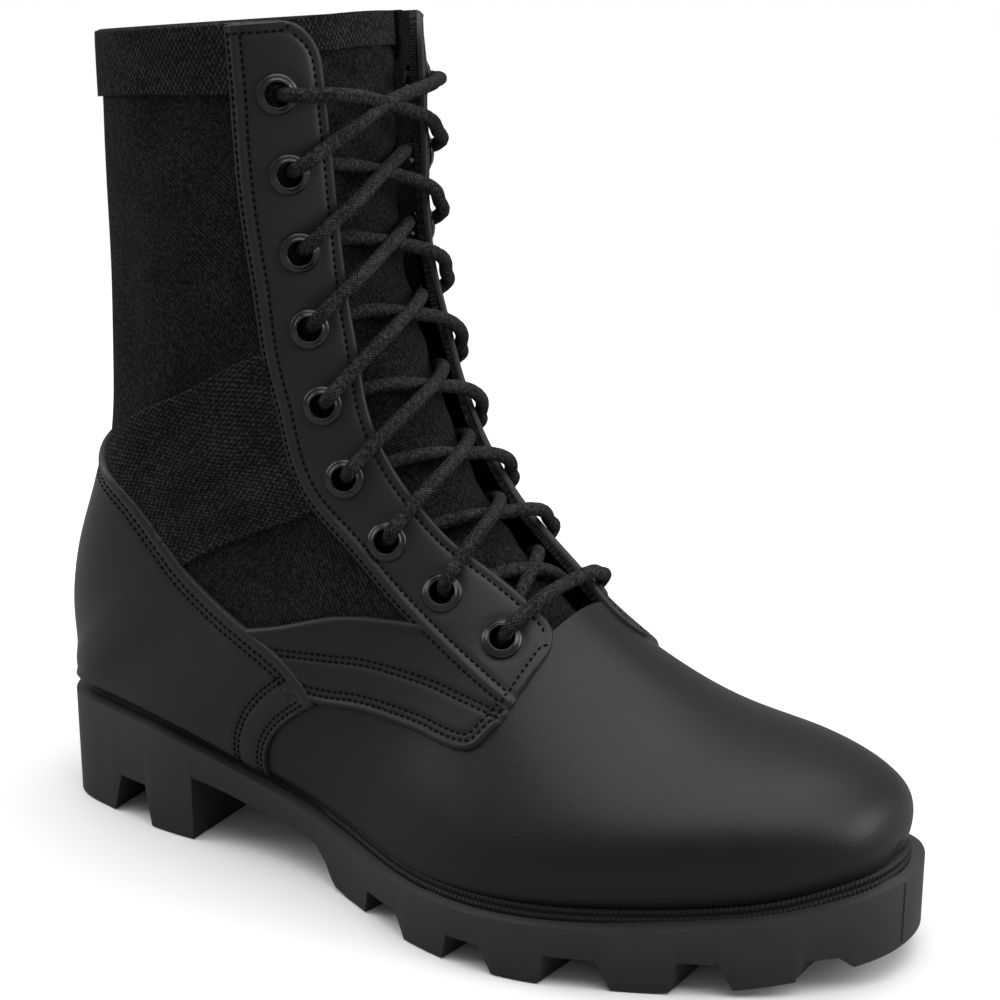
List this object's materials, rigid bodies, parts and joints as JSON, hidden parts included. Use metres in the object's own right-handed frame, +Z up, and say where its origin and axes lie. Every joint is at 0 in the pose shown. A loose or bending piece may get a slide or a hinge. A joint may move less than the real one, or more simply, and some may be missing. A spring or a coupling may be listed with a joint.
{
  "type": "jungle boot",
  "caption": "Black lace-up jungle boot with leather foot, canvas shaft, ankle webbing, lugged rubber outsole and laced throat, right foot.",
  "frame": {"origin": "under the middle of the boot, on the floor", "axes": "+X from heel to toe, +Z up, -Y towards the outer (lateral) side"},
  "size_m": [0.3128, 0.118, 0.271],
  "materials": {
    "outsole_rubber": "matt moulded",
    "welt_rubber": "matt, ribbed",
    "insole_fabric": "plain cloth",
    "upper_leather": "polished, fine grain",
    "overlay_leather": "semi-matt, fine grain",
    "webbing": "ribbed webbing",
    "tongue_fabric": "plain canvas",
    "lace_cord": "round braid",
    "eyelet_enamel": "gloss black enamel"
  },
  "bodies": {
    "root": {"outsole": "outsole_rubber", "welt": "welt_rubber", "insole": "insole_fabric", "upper": "upper_leather", "counter": "overlay_leather", "collar_band": "webbing", "tongue": "tongue_fabric", "quarter_lateral": "overlay_leather", "eyestay_lateral": "overlay_leather", "ankle_band_lateral": "webbing", "eyelet_lateral_1": "eyelet_enamel", "eyelet_lateral_2": "eyelet_enamel", "eyelet_lateral_3": "eyelet_enamel", "eyelet_lateral_4": "eyelet_enamel", "eyelet_lateral_5": "eyelet_enamel", "eyelet_lateral_6": "eyelet_enamel", "eyelet_lateral_7": "eyelet_enamel", "eyelet_lateral_8": "eyelet_enamel", "eyelet_lateral_9": "eyelet_enamel", "quarter_medial": "overlay_leather", "eyestay_medial": "overlay_leather", "ankle_band_medial": "webbing", "eyelet_medial_1": "eyelet_enamel", "eyelet_medial_2": "eyelet_enamel", "eyelet_medial_3": "eyelet_enamel", "eyelet_medial_4": "eyelet_enamel", "eyelet_medial_5": "eyelet_enamel", "eyelet_medial_6": "eyelet_enamel", "eyelet_medial_7": "eyelet_enamel", "eyelet_medial_8": "eyelet_enamel", "eyelet_medial_9": "eyelet_enamel", "lace_bar": "lace_cord", "lace_crossing_1": "lace_cord", "lace_crossing_2": "lace_cord", "lace_crossing_3": "lace_cord", "lace_crossing_4": "lace_cord", "lace_crossing_5": "lace_cord", "lace_crossing_6": "lace_cord", "lace_crossing_7": "lace_cord", "lace_crossing_8": "lace_cord"}
  },
  "joints": []
}
